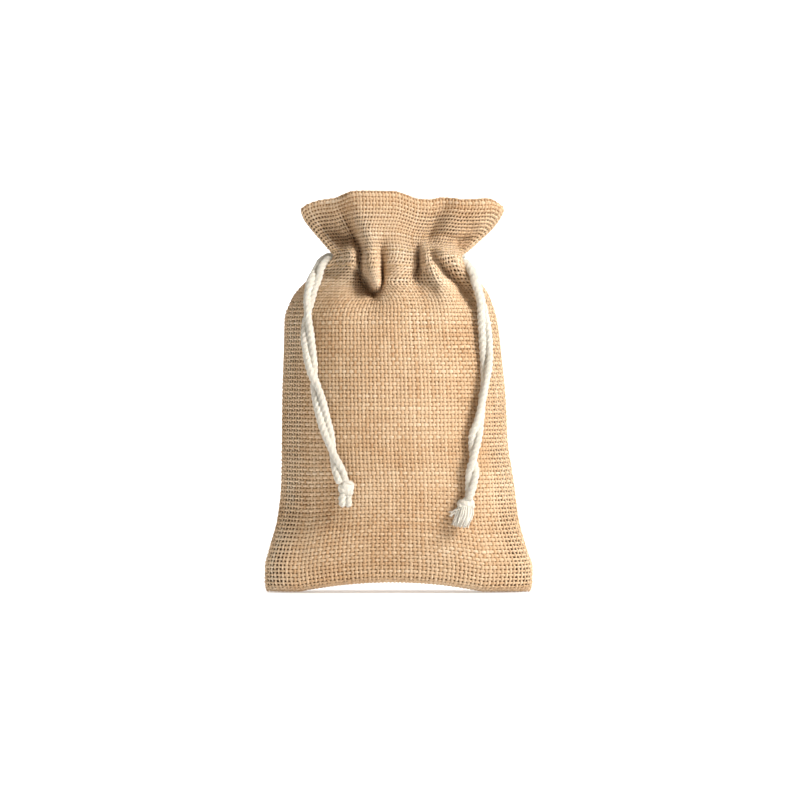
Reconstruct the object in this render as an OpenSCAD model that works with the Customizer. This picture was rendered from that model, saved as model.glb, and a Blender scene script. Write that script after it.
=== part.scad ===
// Drawstring gift pouch: a jute cloth bag with a gathered neck, a ruffled header
// and two cotton drawcords. +X right, +Y back, +Z up; the front faces -Y.

/* [Pouch body] */
// Height from the floor to the top of the ruffle
pouch_h = 200; // [196:1:206]
// Half width of the cloth at the bottom corners
base_half_w = 67.5; // [64:0.5:70]
// Greatest half depth of the filled belly
belly_half_d = 29; // [24:1:32]
// Thickness of one layer of cloth
cloth_t = 1.6; // [1.2:0.1:2]
// Rise of the bottom edge between the two corners
arch_rise = 4.5; // [2:0.5:6]

/* [Neck and ruffle] */
// Half width of the gathered casing
neck_half_w = 34; // [32:1:36]
// Height of the casing's lower edge
casing_z = 161.6; // [160:0.2:163]
// Height of the casing band
casing_h = 9.8; // [9.8:0.2:11]
// Number of gathers across the casing
gathers = 9; // [5:1:12]
// Thickness of the doubled cloth in the ruffle
ruffle_t = 2.4; // [2:0.2:3]

/* [Drawcords] */
// Diameter of the cotton cord where it hangs free
cord_d = 4.2; // [4:0.1:4.4]
// Diameter of the cord where the gathers squeeze it
run_d = 3.4; // [3:0.1:3.5]
// How far each cord can still be pulled out
cord_travel = 30; // [10:1:30]
// Diameter of the knots
knot_d = 8.4; // [8:0.2:9]

/* [Stitching] */
// Width of the seam allowance inside the pouch
allowance_w = 7; // [6:0.5:8]
// Distance from one overlock stitch to the next
overlock_step = 5; // [4:1:8]
// Thread diameter
thread_d = 0.8; // [0.6:0.1:1]

/* [Hidden] */

jute = [0.80, 0.64, 0.44];
jute_dark = [0.68, 0.52, 0.34];
thread = [0.86, 0.78, 0.62];
cotton = [0.93, 0.90, 0.83];

// Half widths of the pouch to the left and right of the middle, by height
left_w = [[0, base_half_w - 1.5], [6, base_half_w], [16, 66.5], [30, 63], [50, 60], [90, 59.5],
    [125, 58], [140, 56.5], [150, 51.5], [157, 45], [162.2, 36.5]];
right_w = [[0, base_half_w - 2.5], [6, base_half_w], [16, 66.5], [30, 62], [50, 58.5], [90, 54.5],
    [125, 50.5], [140, 48], [150, 44], [157, 38.5], [162.2, 35]];
// Share of the belly's half depth, by height
depth_share = [[0, 0.35], [10, 0.48], [25, 0.68], [50, 0.88], [80, 0.97], [110, 1],
    [135, 0.94], [150, 0.8], [157, 0.66], [162.2, 0.54]];
panel_top = 162.2;
panel_cols = 30;
wall_rows = [0, 0.03, 0.07, 0.12, 0.18, 0.25, 0.33, 0.42, 0.52, 0.62, 0.71, 0.79, 0.86, 0.92, 0.96, 1];
floor_rows = [0, 0.35, 0.75];

// Casing band: the tunnel for the cords lies between its two layers of cloth
tunnel_y = 10;
tunnel_w = 4;
tunnel_h = 7.8;
casing_in = 6.8;
casing_out = 14.4;
casing_mid_z = casing_z + casing_h / 2;
gather_depth = 0.7;

// Ruffle: hinged along its foot, flared towards its top edge
lip_gap = 1;
lip_y = 10.6;
lip_z = casing_z + casing_h + lip_gap;
ruffle_cols = 36;
ruffle_rows = [0, 0.2, 0.4, 0.6, 0.8, 1];
front_edge = [[-50, 190], [-47, 193], [-41, 195.5], [-32, 196.5], [-26, 199], [-22, 200], [-4, 200],
    [4, 198], [12, 195.5], [22, 196.5], [34, 195.5], [46, 196], [50, 194], [53, 191]];
back_edge = [[-50, 190], [-44, 193], [-30, 195], [-10, 196.5], [10, 194], [30, 194.5], [44, 194.5], [53, 191]];

// Cord lanes in the casing: the left cord runs above the right one
lane_gap = 0.2;
left_lane = casing_mid_z + (run_d + lane_gap) / 2;
right_lane = casing_mid_z - (run_d + lane_gap) / 2;
run_start = 2;
run_end = 34;
loop_gap = 1;
bend_x = 24;
bend_reach = 8;
strand_gap = 2.15;
cord_sides = 8;

// Middle line of each pair of strands, as x, y, z and the turn of the pair in degrees
left_route = [[-42, -14, 156, 15], [-44.5, -16.5, 148, 40], [-45.5, -19, 139, 90], [-46, -20.5, 130, 150],
    [-45, -22, 120, 190], [-43.5, -24.5, 111, 250], [-41, -26, 101, 330], [-38.5, -27.5, 90, 360],
    [-35.5, -28.5, 80, 390], [-33, -29, 71, 450], [-30, -29, 62, 530], [-27.5, -29, 55, 570]];
right_route = [[38, -13.5, 155, 250], [40.5, -15.5, 146, 255], [42, -17, 136, 220], [42.5, -19, 126, 190],
    [43, -21, 116, 170], [42, -23, 106, 130], [41, -24.5, 96, 90], [39.5, -26, 86, 50],
    [37.5, -27, 77, 0], [37, -27.5, 67, -60], [36, -28, 57, -150], [35, -28, 47.5, -200]];
// Where each strand leaves the side opening and comes round to its pair
left_front_exit = [[-38.5, -13, 163, 2.1]];
left_back_exit = [[-40, 6, 166.5, 2.1], [-45, -3, 162, 2.1]];
right_front_exit = [[37.5, -11, 160, 2.1]];
right_back_exit = [[38, 8, 163.5, 2.1], [40.5, -1, 161, 2.1]];
pinch_r = 0.5;
pinch_in = 1.2;
exit_x = 35.6;
exit_gap = 0.6;
left_knot_at = [-26, -29, 52.5];
right_knot_at = [34, -28, 44.5];

// Closed solid through a list of rings; every ring has the same even number of points
module skin(rings) {
    count = len(rings[0]);
    last = (len(rings) - 1) * count;
    points = [for (ring = rings) for (point = ring) point];
    sides = [for (r = [0:len(rings) - 2]) for (i = [0:count - 1])
        let (a = r * count + i, b = r * count + (i + 1) % count)
        each [[a, b, b + count], [a, b + count, a + count]]];
    caps = [for (i = [0:count / 2 - 2])
        let (a = i, b = i + 1, c = count - 2 - i, d = count - 1 - i)
        each [[a, c, b], [a, d, c], [last + a, last + b, last + c], [last + a, last + c, last + d]]];
    polyhedron(points = points, faces = concat(sides, caps), convexity = 10);
}

// Tube along points that each hold x, y, z and a radius
function ring_at(route, i) = let (
    before = route[max(i - 1, 0)],
    after = route[min(i + 1, len(route) - 1)],
    way = [for (k = [0:2]) after[k] - before[k]],
    along = way / norm(way),
    side_way = cross(along, abs(along.y) < 0.9 ? [0, 1, 0] : [1, 0, 0]),
    side = side_way / norm(side_way),
    up = cross(side, along),
    centre = [for (k = [0:2]) route[i][k]],
    radius = route[i][3])
    [for (s = [0:cord_sides - 1]) let (turn = 360 * s / cord_sides)
        centre + radius * (cos(turn) * side + sin(turn) * up)];
module tube(route) skin([for (i = [0:len(route) - 1]) ring_at(route, i)]);

// Half width and half depth of the pouch at a height
function half_w(z, u) = u < 0 ? lookup(z, left_w) : lookup(z, right_w);
function half_d(z) = belly_half_d * lookup(z, depth_share);
function base_z(x) = arch_rise * max(0, 1 - pow((x + 4) / 46, 2));
// Share of the depth across the width: full near the floor, pillow shaped higher up
function across(u, z) = let (low = max(0, 1 - z / 40))
    low * pow(1 - pow(abs(u), 6), 0.5) + (1 - low) * pow(1 - pow(abs(u), 2.4), 0.8);

function wall_point(u, w, inset) = let (
    foot = base_z(u * half_w(0, u)) + inset * (1 - w),
    z = foot + w * (panel_top - foot),
    half = max(half_w(z, u) - inset, 0))
    [u * half, -max(half_d(z) * across(u, z) - inset, 0), z];
function floor_point(u, f, inset) = let (edge = wall_point(u, 0, inset)) [edge.x, edge.y * f, edge.z];
function panel_row(kind, share) = let (
    us = [for (i = [0:panel_cols]) -1 + 2 * i / panel_cols],
    outer = [for (u = us) kind == "floor" ? floor_point(u, share, 0) : wall_point(u, share, 0)],
    inner = [for (u = us) kind == "floor" ? floor_point(u, share, cloth_t) : wall_point(u, share, cloth_t)])
    concat(outer, [for (i = [panel_cols:-1:0]) inner[i]]);

module panel() {
    skin(concat([for (f = floor_rows) panel_row("floor", f)], [for (w = wall_rows) panel_row("wall", w)]));
}
module front_panel() color(jute) panel();
module back_panel() color(jute) mirror([0, 1, 0]) panel();

// Two cloth edges pressed together inside each side seam
allowance_half_t = 1.2;
seam_in = cloth_t + 0.5;
seam_rows = [8, 16, 30, 50, 70, 90, 110, 125, 140, 150];
module side_allowance(side) {
    mirror([side < 0 ? 1 : 0, 0, 0])
        skin([for (z = seam_rows) let (x = half_w(z, side) - seam_in)
            [[x - allowance_w, -allowance_half_t, z], [x, -allowance_half_t, z],
             [x, allowance_half_t, z], [x - allowance_w, allowance_half_t, z]]]);
}
module left_seam_allowance() color(jute_dark) side_allowance(-1);
module right_seam_allowance() color(jute_dark) side_allowance(1);

// The same along the bottom seam, standing up inside the pouch
bottom_cols = [-52, -44, -34, -24, -14, -4, 6, 16, 26, 36, 46, 52];
module bottom_seam_allowance() color(jute_dark)
    skin([for (x = bottom_cols) let (z = base_z(x) + cloth_t)
        [[x, -allowance_half_t, z], [x, -allowance_half_t, z + allowance_w],
         [x, allowance_half_t, z + allowance_w], [x, allowance_half_t, z]]]);

// One overlock stitch: a thread staple round the raw edge at the origin, with the cloth below it
staple_leg = 3;
staple_gap = 0.25;
module staple() {
    rotate([90, 0, 90]) translate([0, 0, -thread_d / 2]) linear_extrude(thread_d)
        difference() {
            translate([-allowance_half_t - staple_gap - thread_d, -staple_leg])
                square([2 * (allowance_half_t + staple_gap + thread_d), staple_leg + staple_gap + thread_d]);
            translate([-allowance_half_t - staple_gap, -staple_leg - 1])
                square([2 * (allowance_half_t + staple_gap), staple_leg + 1 + staple_gap]);
        }
}
module side_overlock(side) {
    for (z = [12:overlock_step:146])
        translate([side * (half_w(z, side) - seam_in - allowance_w), 0, z])
            rotate([0, -90 * side, 0]) staple();
}
module left_seam_overlock() color(thread) side_overlock(-1);
module right_seam_overlock() color(thread) side_overlock(1);
module bottom_seam_overlock() color(thread)
    for (x = [-47:overlock_step:47])
        translate([x, 0, base_z(x) + cloth_t + allowance_w]) staple();

// Front casing: the gathered band that holds both drawcords, open at its ends
function gather_y(x) = casing_out - pow(x / neck_half_w, 2) + gather_depth * cos(360 * gathers * x / (2 * neck_half_w));
gather_xs = [for (i = [0:72]) neck_half_w * (-1 + i / 36)];
module tunnel(extra) {
    r = tunnel_w / 2;
    translate([-neck_half_w - 1, -tunnel_y, casing_mid_z]) rotate([90, 0, 90])
        linear_extrude(2 * neck_half_w + 2) {
            translate([0, tunnel_h / 2 - r]) circle(r, $fn = 24);
            translate([0, r - tunnel_h / 2]) circle(r, $fn = 24);
            translate([-r, r - tunnel_h / 2]) square([tunnel_w + extra, tunnel_h - tunnel_w]);
        }
}
side_opening_w = 13;
module casing() {
    difference() {
        translate([0, 0, casing_z]) linear_extrude(casing_h)
            polygon(concat([for (x = gather_xs) [x, -gather_y(x)]],
                [[neck_half_w, -casing_in], [-neck_half_w, -casing_in]]));
        tunnel(0);
        for (side = [-1, 1])
            translate([side * (neck_half_w + 1 - side_opening_w / 2) - side_opening_w / 2, -tunnel_y,
                casing_mid_z - tunnel_h / 2])
                cube([side_opening_w, tunnel_y, tunnel_h]);
    }
}
module front_casing() color(jute) casing();
module back_casing() color(jute) mirror([0, 1, 0]) casing();

// Two rows of running stitches that close the tunnel above and below the cords
stitch_l = 2.6;
stitch_step = 4.2;
stitch_rows = [1.1, casing_h - 0.7];
module casing_stitches() {
    for (row = stitch_rows) for (i = [-7:7]) let (x = i * stitch_step)
        translate([x - stitch_l / 2, -gather_y(x), casing_z + row])
            rotate([0, 90, 0]) cylinder(h = stitch_l, d = thread_d, $fn = 16);
}
module front_casing_stitches() color(thread) casing_stitches();
module back_casing_stitches() color(thread) mirror([0, 1, 0]) casing_stitches();

// Bar of close stitches at the foot of each side opening, where the side seam ends
bartack_z = 159;
bartack_bars = 4;
bartack_step = 1.1;
module bartacks(side) {
    for (i = [0:bartack_bars - 1]) let (z = bartack_z - i * bartack_step)
        translate([side * (half_w(z, side) - 0.3), -2, z])
            rotate([-90, 0, 0]) cylinder(h = 4, d = thread_d, $fn = 16);
}
module left_opening_bartacks() color(thread) bartacks(-1);
module right_opening_bartacks() color(thread) bartacks(1);

// Ruffle: doubled cloth above the casing, flared and waved towards its folded top edge
foot_w = neck_half_w + 2;
top_w = 51.5;
flare = 6;
wave = 2.5;
function ruffle_point(u, v, edge, wave_turn, offset) = let (
    top = lookup(u * top_w, edge),
    y = lip_y + flare * v + wave * v * sin(u * 700 + wave_turn) + offset)
    [u * (foot_w + (top_w - foot_w) * pow(v, 0.8)), -y, lip_z + v * (top - lip_z)];
module ruffle(edge, wave_turn) {
    us = [for (i = [0:ruffle_cols]) -1 + 2 * i / ruffle_cols];
    skin([for (v = ruffle_rows) concat(
        [for (u = us) ruffle_point(u, v, edge, wave_turn, ruffle_t / 2)],
        [for (i = [ruffle_cols:-1:0]) ruffle_point(us[i], v, edge, wave_turn, -ruffle_t / 2)])]);
}
module front_ruffle() color(jute) ruffle(front_edge, 40);
module back_ruffle() color(jute) mirror([0, 1, 0]) ruffle(back_edge, 160);

// The far end of each cord, where it goes from the front casing round to the back casing
function loop_route(side, z) = concat(
    [for (x = [loop_gap, bend_x / 2]) [side * x, -tunnel_y, z, run_d / 2]],
    [for (a = [-90:22.5:90]) [side * (bend_x + bend_reach * cos(a)), tunnel_y * sin(a), z, run_d / 2]],
    [for (x = [bend_x / 2, loop_gap]) [side * x, tunnel_y, z, run_d / 2]]);
module left_cord_loop() color(cotton) tube(loop_route(1, left_lane));
module right_cord_loop() color(cotton) tube(loop_route(-1, right_lane));

// The straight stretches that slide out of the casing as a cord is pulled
function run_route(side, y, z) = [
    [side * run_start, y, z, run_d / 2], [side * run_end / 2, y, z, run_d / 2],
    [side * (run_end - pinch_in), y, z, run_d / 2], [side * (exit_x - exit_gap), y, z, pinch_r]];
module runs(side, z) {
    for (y = [-tunnel_y, tunnel_y]) tube(run_route(side, y, z));
}
module left_cord_runs() color(cotton) runs(-1, left_lane);
module right_cord_runs() color(cotton) runs(1, right_lane);

// A hanging strand: out of the side opening, then turning round its partner down to the knot
function pair_route(route, half_turn) = [for (p = route) let (turn = p[3] + half_turn)
    [p.x + strand_gap * cos(turn), p.y + strand_gap * sin(turn), p.z, cord_d / 2]];
function strand(side, y, z, leaving, route, half_turn) = concat(
    [[side * exit_x, y, z, pinch_r], [side * (exit_x + 2), y * 0.96, z - 0.8, cord_d / 2]],
    leaving, pair_route(route, half_turn));
module left_front_tail() color(cotton)
    tube(strand(-1, -tunnel_y, left_lane, left_front_exit, left_route, 0));
module left_back_tail() color(cotton)
    tube(strand(-1, tunnel_y, left_lane, left_back_exit, left_route, 180));
module right_front_tail() color(cotton)
    tube(strand(1, -tunnel_y, right_lane, right_front_exit, right_route, 180));
module right_back_tail() color(cotton)
    tube(strand(1, tunnel_y, right_lane, right_back_exit, right_route, 0));

// Overhand knot: a round core with two wraps of cord
wrap_r = 1.9;
wrap_turns = [[15, 25, 0], [75, -20, 30]];
module knot() {
    sphere(d = knot_d - 2, $fn = 48);
    for (turn = wrap_turns)
        rotate(turn) rotate_extrude($fn = 48)
            translate([knot_d / 2 - wrap_r + 0.4, 0]) circle(wrap_r, $fn = 24);
}
module left_knot() color(cotton) translate(left_knot_at) knot();
module right_knot() color(cotton) translate(right_knot_at) knot();

// The two cut ends below the left knot
end_l = 7;
module left_cut_ends() color(cotton)
    for (side = [-1, 1])
        translate([left_knot_at.x + 1.4 * side, left_knot_at.y, left_knot_at.z - knot_d / 2 - end_l + 1])
            cylinder(h = end_l, d1 = 3.4, d2 = 2.6, $fn = 32);

// Loose plies of the frayed ends below the right knot
ply_l = 10;
ply_d = 1.6;
module right_tassel() color(cotton)
    for (lean = [-1:1]) for (depth = [-1:1])
        translate([right_knot_at.x + 1.4 * lean, right_knot_at.y + 1.4 * depth, right_knot_at.z - knot_d / 2 + 1])
            rotate([180 + 12 * depth, 16 + 14 * lean, 0]) cylinder(h = ply_l, d = ply_d, $fn = 16);

front_panel();
back_panel();
left_seam_allowance();
right_seam_allowance();
bottom_seam_allowance();
left_seam_overlock();
right_seam_overlock();
bottom_seam_overlock();
front_casing();
back_casing();
front_casing_stitches();
back_casing_stitches();
left_opening_bartacks();
right_opening_bartacks();
front_ruffle();
back_ruffle();
left_cord_loop();
right_cord_loop();
left_cord_runs();
right_cord_runs();
left_front_tail();
left_back_tail();
left_knot();
left_cut_ends();
right_front_tail();
right_back_tail();
right_knot();
right_tassel();
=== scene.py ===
"""Drawstring gift pouch: woven jute cloth with a gathered neck and a ruffle, and two twisted cotton cords.

Shapes are worked out in millimetres and turned into metres where each mesh is made. The cloth is a net
of real yarns, warp over weft, laid on a pillow-shaped surface whose gathers are ridges and creases along
short routes.
"""

import math

import bpy
import numpy as np
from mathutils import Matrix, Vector


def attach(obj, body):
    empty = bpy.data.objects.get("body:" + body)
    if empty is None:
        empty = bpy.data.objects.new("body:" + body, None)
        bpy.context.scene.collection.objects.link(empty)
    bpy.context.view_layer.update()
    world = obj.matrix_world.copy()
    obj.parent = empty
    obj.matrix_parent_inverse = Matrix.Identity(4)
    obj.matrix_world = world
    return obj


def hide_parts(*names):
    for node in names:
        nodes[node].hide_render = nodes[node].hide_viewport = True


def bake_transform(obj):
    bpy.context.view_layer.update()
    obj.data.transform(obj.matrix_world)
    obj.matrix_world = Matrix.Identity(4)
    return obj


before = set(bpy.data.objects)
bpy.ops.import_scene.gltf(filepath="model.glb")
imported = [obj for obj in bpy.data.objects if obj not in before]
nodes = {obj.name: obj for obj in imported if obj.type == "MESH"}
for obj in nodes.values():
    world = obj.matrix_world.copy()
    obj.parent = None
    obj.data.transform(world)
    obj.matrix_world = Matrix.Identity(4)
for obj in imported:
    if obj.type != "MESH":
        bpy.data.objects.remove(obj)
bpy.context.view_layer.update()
MM = 0.001
rng = np.random.default_rng(11)


# ---- camera

def make_camera(view_w=400.0, distance=1500.0, aim=(0.5, 0.0, 96.0), elevation=0.8, sensor=36.0):
    """A long lens that sees view_w millimetres across at the middle of the pouch."""
    data = bpy.data.cameras.new("camera")
    data.sensor_width = sensor
    data.lens = sensor * distance / view_w
    data.clip_end = 100
    cam = bpy.data.objects.new("camera", data)
    bpy.context.scene.collection.objects.link(cam)
    back = Vector((0, -math.cos(math.radians(elevation)), math.sin(math.radians(elevation))))
    cam.location = (Vector(aim) + back * distance) * MM
    cam.rotation_euler = (math.radians(90 - elevation), 0, 0)
    bpy.context.scene.camera = cam


make_camera()


# ---- mesh helpers

def new_piece(name, points, faces, uv=None, values=None):
    """A smooth mesh from points in millimetres; uv holds a pair and values a number for each point."""
    mesh = bpy.data.meshes.new(name)
    rows = (np.asarray(points, float) * MM).tolist()
    mesh.from_pydata(rows, [], faces.tolist() if isinstance(faces, np.ndarray) else faces)
    corners = np.zeros(len(mesh.loops), np.int32)
    mesh.loops.foreach_get("vertex_index", corners)
    if uv is not None:
        layer = mesh.uv_layers.new(name="yarn")
        layer.data.foreach_set("uv", np.asarray(uv, np.float32)[corners].ravel())
    for key, numbers in (values or {}).items():
        attribute = mesh.attributes.new(key, "FLOAT", "POINT")
        attribute.data.foreach_set("value", np.asarray(numbers, np.float32).ravel())
    mesh.polygons.foreach_set("use_smooth", np.full(len(mesh.polygons), True))
    mesh.update()
    piece = bpy.data.objects.new(name, mesh)
    bpy.context.scene.collection.objects.link(piece)
    return piece


def smooth_line(stations):
    """A smooth function through given (place, value) stations that never overshoots them."""
    x, y = (np.array(column, float) for column in zip(*stations))
    slope = np.diff(y) / np.diff(x)
    same_way = slope[1:] * slope[:-1] > 0
    inner = np.where(same_way, 2 * slope[1:] * slope[:-1] / (slope[1:] + slope[:-1] + 1e-12), 0)
    ends = np.concatenate([[slope[0]], inner, [slope[-1]]])

    def value(at):
        at = np.clip(at, x[0], x[-1])
        i = np.clip(np.searchsorted(x, at) - 1, 0, len(x) - 2)
        step = x[i + 1] - x[i]
        s = (at - x[i]) / step
        return ((2 * s**3 - 3 * s**2 + 1) * y[i] + (s**3 - 2 * s**2 + s) * step * ends[i]
                + (3 * s**2 - 2 * s**3) * y[i + 1] + (s**3 - s**2) * step * ends[i + 1])
    return value


def smoothstep(value, low, high):
    share = np.clip((value - low) / (high - low), 0, 1)
    return share * share * (3 - 2 * share)


# ---- cloth surface

# Half widths by height, to the left and to the right of the middle
LEFT_W = smooth_line([
    (0, 67), (5, 67.5), (12, 67.5), (21, 65.5), (36, 61.5), (56, 59.5), (96, 59), (126, 58), (136, 57.8),
    (146, 54.5), (151, 51), (156, 45.5), (161, 39.3), (164, 35.8), (168, 33), (170, 34.6), (176, 40),
    (181, 44.5), (187, 48.7), (191, 49.8), (196, 48.5)])
RIGHT_W = smooth_line([
    (0, 66.3), (5, 67.2), (12, 67.3), (21, 64.5), (36, 60.5), (56, 58), (76, 55), (96, 54), (116, 52),
    (136, 49.5), (146, 46.5), (151, 44), (156, 39.5), (161, 35), (164, 32.8), (168, 31.8), (170, 34.5),
    (176, 41.5), (181, 47), (187, 51.5), (191, 53), (196, 51)])
# Half depth of the filled body by height
BELLY = smooth_line([
    (0, 10.5), (10, 14), (25, 19.7), (50, 25.5), (80, 28.2), (110, 29), (135, 27), (150, 22.5),
    (157, 18.5), (166, 15), (172, 14.5), (185, 15.5), (200, 17)])
# Half depth of the ruffle by share of the half width, low down and at its top edge
RUFFLE_LOW = smooth_line([
    (-1, 5), (-0.82, 8), (-0.68, 10.5), (-0.55, 13.5), (-0.36, 18), (-0.1, 17.5), (0.1, 15.5),
    (0.26, 12.5), (0.35, 12), (0.52, 14.5), (0.7, 13), (0.87, 9), (1, 4.5)])
RUFFLE_TOP = smooth_line([
    (-1, 4), (-0.82, 7.5), (-0.61, 13), (-0.49, 18), (-0.3, 19.5), (0, 18), (0.2, 16), (0.35, 15),
    (0.45, 14.5), (0.59, 16), (0.78, 16), (0.93, 12), (1, 6)])
# Half gap between the two cloths at the side slit, by height
SLIT = smooth_line([
    (0, 0), (157.5, 0), (159.5, 2.5), (162.5, 7.2), (166, 8.2), (170, 8), (176, 6), (190, 3.5), (200, 3.5)])
# Least half depth of a cloth by height, so that no crease reaches the cord in the casing
CLEAR = smooth_line([
    (0, 0), (158, 0), (161.5, 7.5), (163, 8.8), (171, 8.8), (173.5, 7), (178, 2.5), (200, 2)])
# Height of the folded top edge, by share of the half width
FRONT_TOP = smooth_line([
    (-1, 190), (-0.94, 192.6), (-0.82, 194.6), (-0.66, 195.5), (-0.58, 196.9), (-0.5, 198.2),
    (-0.42, 198.6), (-0.05, 198.4), (0.07, 196.8), (0.18, 194.8), (0.3, 194.3), (0.42, 195.3),
    (0.52, 195.1), (0.62, 194.4), (0.74, 194.5), (0.88, 195), (0.95, 193.8), (1, 191)])
BACK_TOP = smooth_line([
    (-1, 190), (-0.8, 193), (-0.5, 194), (-0.2, 195), (0.15, 193), (0.5, 193.5), (0.8, 193.5), (1, 190.5)])
ARCH_RISE, ARCH_MID, ARCH_HALF = 4.5, -4.0, 46.0  # height, middle and half width of the bottom's arch
ARCH_FADE = 0.4  # share of the height over which the rows lose that arch
LEVEL_TOP = 195.0  # where the top edge would be if it were level
TOP_FADE = 0.8  # share of the height above which the rows take the top edge's shape
SKIN = 0.8  # from the middle of the cloth to the outside of a yarn
EDGE_TURN = 3.5  # radius of the turn along the bottom edge
ROW_BUNCH = 0.06  # how closely rows bunch round that turn before they are spread
CREASE_ROUND = 1.2  # rounding of a crease's foot where it stops short of the cord

# Sections across the pouch, as the two powers that round them off towards the sides
PILLOW_SECTION, BOX_SECTION, LIP_SECTION = (2.4, 0.8), (6, 0.5), (4, 0.5)
BOX_TOP = 40.0  # below this height the pillow turns into the box

# Heights between which one shape takes over from another
ROW_ZONE = (148, 158)  # rows begin to arch over the neck's bulges
SLIT_ZONE = (150, 164)  # the closed sides open into the slits
RUFFLE_ZONE = (169, 181)  # the neck turns into the ruffle
FLARE_ZONE = (178, 198)  # the ruffle's low section turns into that of its top edge
BLUNT_ZONE = (140, 160)  # creases begin to be blunted
FOLD_SIDE = 0.12  # share of the half width over which folds fade out towards the sides
BLUNT_SIDE = 0.1  # and the blunting of creases

# Gathers: each is a route of (x, z, height, half width); a negative height is a crease
FRONT_GATHERS = [
    [(-26.5, 192, -3, 3), (-24.5, 184, -6, 3), (-22.3, 178, -9, 2.6), (-19.8, 171, -10, 1.7),
     (-19.3, 163, -10, 1.6), (-19.6, 160.5, -5, 2)],
    [(-20, 159, -8, 2.4), (-17.2, 154, -10, 3.2), (-13, 148.8, -8, 2.6)],
    [(-24, 157, -2, 5), (-18, 150, -4, 6)],
    [(-8.8, 174, -0.5, 2), (-8.5, 168, -3.5, 1.7), (-8.3, 163, -6.5, 1.5), (-8.2, 155, -9, 1.3),
     (-9, 151, -6, 1.4), (-11.5, 148.8, -4, 1.5)],
    [(9.9, 171.5, -2, 1.5), (9.6, 168, -6, 1.6), (9.5, 163, -8, 1.6), (8.6, 157, -5, 3.4),
     (9.5, 149, -2, 5)],
    [(16, 176.5, -1.5, 2), (22, 178, -2, 2.4), (28, 176, -2.5, 2.6)],
    [(23.5, 195, -0.5, 4), (18.5, 185, -2.3, 4), (14.5, 177, -2.5, 2.5)],
    [(17.4, 167.5, -2, 1.4), (22.5, 160, -8, 2.4), (28.5, 154, -9, 3.2), (35.5, 146, -4, 4)],
    [(-28.5, 176, -10, 4), (-34.5, 181, -5, 4.5)],
    [(30.5, 173.5, -9, 2.6), (36, 179, -3, 4)],
    [(-27, 170.5, 2, 3), (-23.5, 168.5, 4, 3.2), (-23.5, 163, 3.5, 3.4), (-25, 156, 1, 4)],
    [(-34, 168, -2.5, 5), (-34.5, 160, -3, 5)],
    [(-14, 182, 1, 5), (-13.6, 169, 6, 3.8), (-12.8, 160, 8.5, 3.3), (-11.6, 153.8, 8.5, 2.7)],
    [(16.5, 171.5, 4, 2.8), (22, 168.8, 9.5, 4.4), (28.5, 165, 5.5, 4.4)],
    [(12.4, 172, 4, 2), (14.8, 164, 7.5, 2.5), (21, 153.5, 5, 3.4), (26.5, 142, 1.5, 6)],
    [(-1, 184, 0.5, 8), (-1, 171, 3.5, 6.5), (0, 160, 5, 6), (1, 150, 2, 9)],
]
BACK_GATHERS = [
    [(26, 188, -2, 4), (22, 176, -6, 2), (20, 166, -9, 1.6), (21, 156, -6, 3)],
    [(8, 186, -1.5, 3), (6, 172, -6, 1.5), (6.5, 162, -8, 1.5), (8, 153, -4, 3)],
    [(-8, 174, -4, 1.6), (-9, 165, -8, 1.4), (-8, 156, -4, 3)],
    [(-25, 190, -2, 4), (-22, 176, -5, 2), (-22, 165, -8, 1.6), (-24, 155, -4, 3)],
    [(14, 172, 2, 4), (14, 162, 4, 4)],
    [(-1, 176, 1, 5), (-1, 163, 3, 5)],
    [(-15.5, 172, 2, 4), (-15.5, 160, 3.5, 4)],
    [(28, 164, 3, 5)],
    [(-29, 164, 3, 5)],
]
GATHERS = {-1: FRONT_GATHERS, 1: BACK_GATHERS}
# Long shallow folds in the filled body
BODY_FOLDS = [
    [(-50, 20, -1.2, 7), (-38, 40, -0.6, 9)],
    [(50, 18, -1.2, 7), (40, 38, -0.6, 9)],
    [(-30, 150, 1.2, 7), (-36, 120, 0.6, 9)],
    [(12, 148, -1, 6), (14, 120, -0.5, 9)],
    [(-12, 148, -1.2, 5), (-16, 126, -0.4, 8)],
    [(30, 148, -1, 5), (36, 124, -0.8, 6)],
    [(0, 60, 0.7, 22)],
]
# Where rows of the weave arch over a bulge of the neck, or dip across its long fold (negative)
NECK_BULGES = [
    [(-31, 166, 4, 4), (-24, 167, 4, 4)],
    [(18, 166, 5, 5), (28, 164, 8, 5)],
    [(-13, 160, -4, 4)],
]
ROW_LIFT = 0.35  # how far a row arches for each millimetre of those heights


def fold_height(x, z, folds):
    """The summed height of folds at (x, z): each is a rounded ridge or crease along its own route."""
    total = np.zeros_like(x)
    for route in folds:
        strongest = np.zeros_like(x)
        legs = list(zip(route, route[1:])) or [(route[0], route[0])]
        for (x0, z0, h0, w0), (x1, z1, h1, w1) in legs:
            length2 = (x1 - x0) ** 2 + (z1 - z0) ** 2 or 1.0
            s = np.clip(((x - x0) * (x1 - x0) + (z - z0) * (z1 - z0)) / length2, 0, 1)
            far2 = (x - x0 - s * (x1 - x0)) ** 2 + (z - z0 - s * (z1 - z0)) ** 2
            height = (h0 + s * (h1 - h0)) * np.exp(-far2 / (w0 + s * (w1 - w0)) ** 2)
            strongest = np.where(np.abs(height) > np.abs(strongest), height, strongest)
        total = total + strongest
    return total


def half_width(t, z):
    """Half width of the pouch at a height, to its left where t is negative."""
    return np.where(t < 0, LEFT_W(z), RIGHT_W(z))


def side_reach(t, z):
    """Where the middle of the cloth lies across the pouch, for a share t of its half width."""
    return t * (half_width(t, z) - SKIN)


def bottom_line(t):
    """Height of the bottom edge, which arches up between the two corners."""
    base_x = t * half_width(t, 0.0)
    return ARCH_RISE * np.maximum(0, 1 - ((base_x - ARCH_MID) / ARCH_HALF) ** 2) + SKIN


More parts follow.
